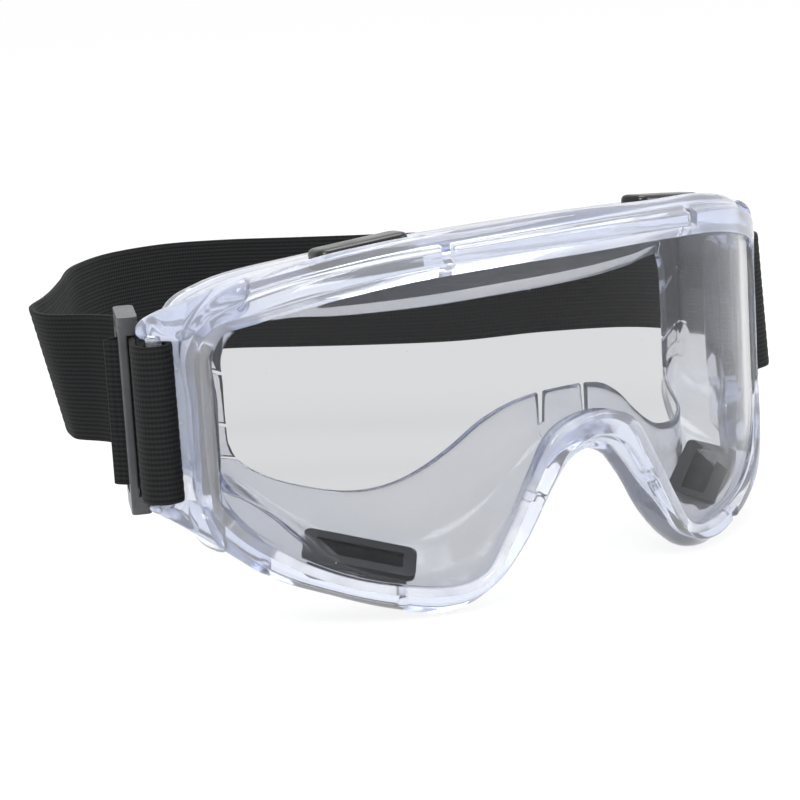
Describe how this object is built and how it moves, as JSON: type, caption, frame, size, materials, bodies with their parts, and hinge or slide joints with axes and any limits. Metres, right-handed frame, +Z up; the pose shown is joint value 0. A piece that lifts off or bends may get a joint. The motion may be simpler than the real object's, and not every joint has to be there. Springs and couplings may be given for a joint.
{
  "type": "safety goggles",
  "caption": "Wide-vision safety goggles: soft clear frame, curved clear lens, slotted vents and a wide elastic band with a slide adjuster.",
  "frame": {"origin": "on the mirror plane of the frame and lens, 4.6 mm behind the front of the lens, at the height of the nose arch's crown", "axes": "+X across the face towards the right of a viewer who faces the lens, -Y the way the wearer looks, +Z up"},
  "size_m": [0.1971, 0.1875, 0.0837],
  "materials": {
    "soft_clear_pvc": "soft clear PVC with a light blue tint",
    "clear_lens": "polished clear polycarbonate",
    "black_cap": "glossy black moulded plastic",
    "grey_vent": "dark grey moulded plastic",
    "elastic_band": "ribbed knitted elastic",
    "slider_plastic": "satin black moulded plastic"
  },
  "bodies": {
    "goggles": {"goggle_frame": "soft_clear_pvc", "lens": "clear_lens", "headband": "elastic_band", "top_left_vent_cover": "black_cap", "top_right_vent_cover": "black_cap", "bottom_left_vent_cover": "black_cap", "bottom_right_vent_cover": "black_cap", "top_left_vent_insert": "grey_vent", "top_right_vent_insert": "grey_vent", "bottom_left_vent_insert": "grey_vent", "bottom_right_vent_insert": "grey_vent"},
    "adjuster": {"band_slider": "slider_plastic", "band_tail_loop": "elastic_band"}
  },
  "joints": [
    {"name": "slider_slide", "type": "slide", "parent": "goggles", "child": "adjuster", "axis": [0.4068, 0.9135, 0], "range_m": [-0.003, 0.012]}
  ]
}
